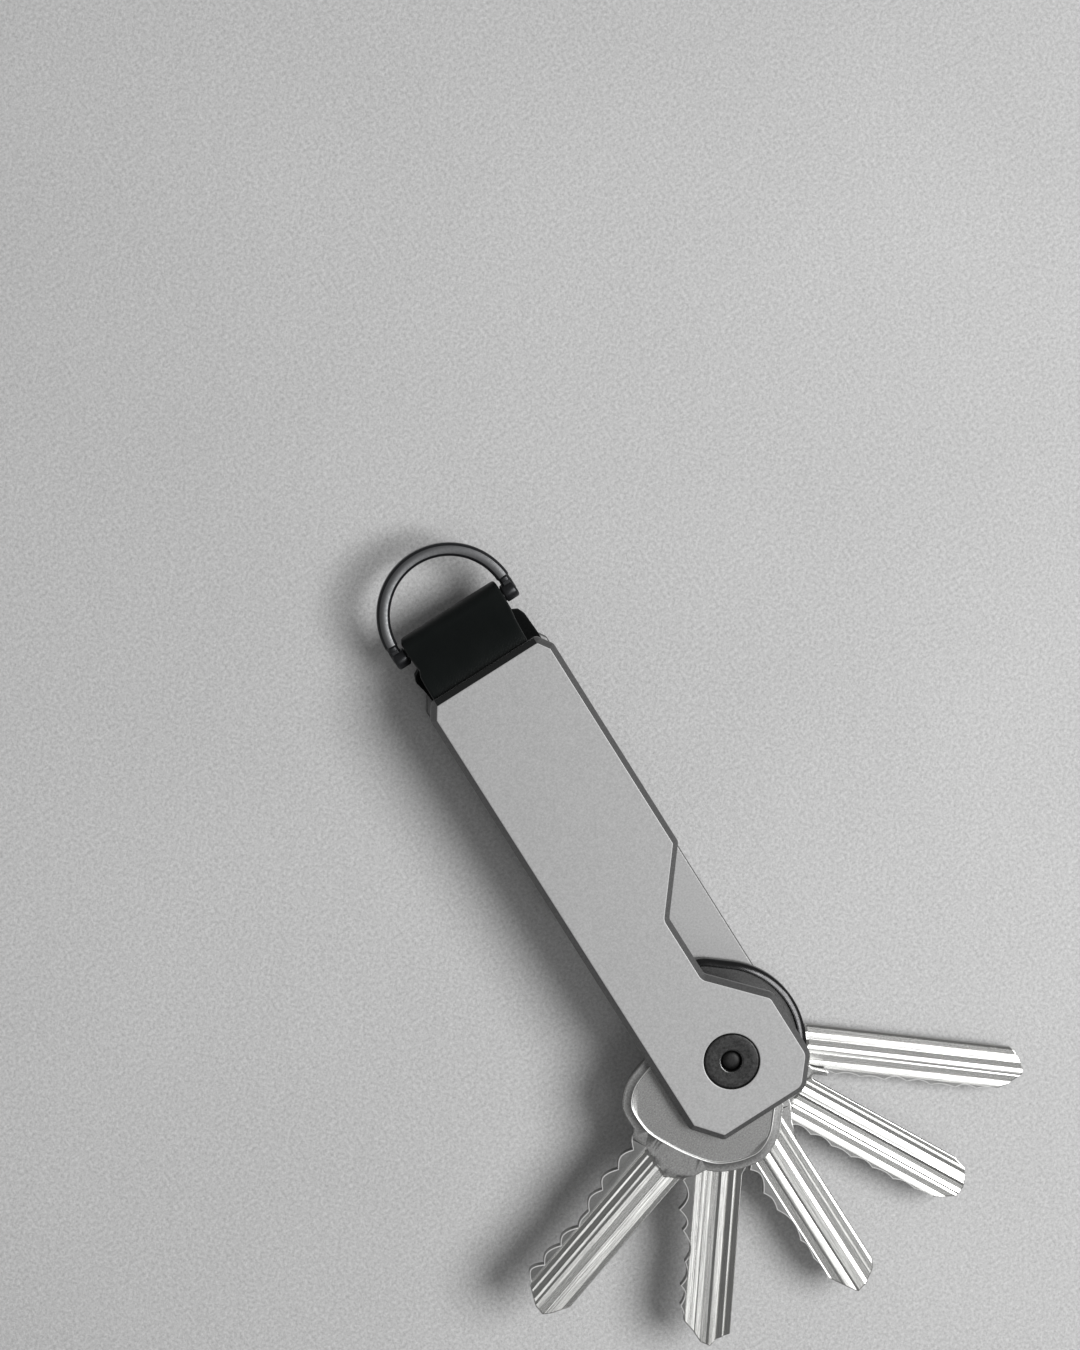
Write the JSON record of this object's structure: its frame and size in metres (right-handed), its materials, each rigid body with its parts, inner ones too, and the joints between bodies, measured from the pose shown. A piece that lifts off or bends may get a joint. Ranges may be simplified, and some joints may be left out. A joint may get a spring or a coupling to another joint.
{
  "type": "key organiser",
  "caption": "Slim pocket key organiser: flat keys fan out on a post between two bevelled metal plates, with a leather loop and shackle.",
  "frame": {"origin": "centre of the rear plate's flat outer face", "axes": "+Y along the body to the shackle, +X to the notched side of the front plate, +Z out of the front plate"},
  "size_m": [0.0845, 0.1353, 0.0166],
  "materials": {
    "plates": "bead-blasted anodised, light grey",
    "spacer": "moulded nylon, black",
    "leather": "smooth, black",
    "dark_steel": "blackened",
    "gunmetal": "gunmetal plated, satin",
    "black_steel": "black oxide, satin",
    "spring_steel": "plain spring steel",
    "nylon": "natural nylon",
    "key_metal": "nickel-plated, polished blades, satin bows"
  },
  "bodies": {
    "case": {"front_plate": "plates", "rear_plate": "plates", "end_spacer": "spacer", "strap": "leather", "strap_screws": "dark_steel", "pivot_barrel": "black_steel", "pivot_screw": "black_steel", "disc_spring": "spring_steel", "front_washer": "nylon", "rear_washer": "nylon", "key_washer_1": "nylon", "key_washer_2": "nylon", "key_washer_3": "nylon", "key_washer_4": "nylon"},
    "shackle": {"shackle_bow": "gunmetal", "shackle_pin": "gunmetal"},
    "key_1_body": {"key_1": "key_metal"},
    "key_2_body": {"key_2": "key_metal"},
    "key_3_body": {"key_3": "key_metal"},
    "key_4_body": {"key_4": "key_metal"},
    "key_5_body": {"key_5": "key_metal"}
  },
  "joints": [
    {"name": "key_1_swing", "type": "hinge", "parent": "case", "child": "key_1_body", "pos_m": [0, -0.03065, 0.01255], "axis": [0, 0, 1], "range_deg": [-107.3, 252.7]},
    {"name": "key_2_swing", "type": "hinge", "parent": "case", "child": "key_2_body", "pos_m": [0, -0.03065, 0.01025], "axis": [0, 0, 1], "range_deg": [-143.8, 216.2]},
    {"name": "key_3_swing", "type": "hinge", "parent": "case", "child": "key_3_body", "pos_m": [0, -0.03065, 0.00795], "axis": [0, 0, 1], "range_deg": [-180.2, 179.8]},
    {"name": "key_4_swing", "type": "hinge", "parent": "case", "child": "key_4_body", "pos_m": [0, -0.03065, 0.00565], "axis": [0, 0, 1], "range_deg": [-208.4, 151.6]},
    {"name": "key_5_swing", "type": "hinge", "parent": "case", "child": "key_5_body", "pos_m": [0, -0.03065, 0.00335], "axis": [0, 0, 1], "range_deg": [-230.6, 129.4]},
    {"name": "shackle_swing", "type": "hinge", "parent": "case", "child": "shackle", "pos_m": [0, 0.04795, 0.0083], "axis": [1, 0, 0], "range_deg": [-110, 110]}
  ]
}
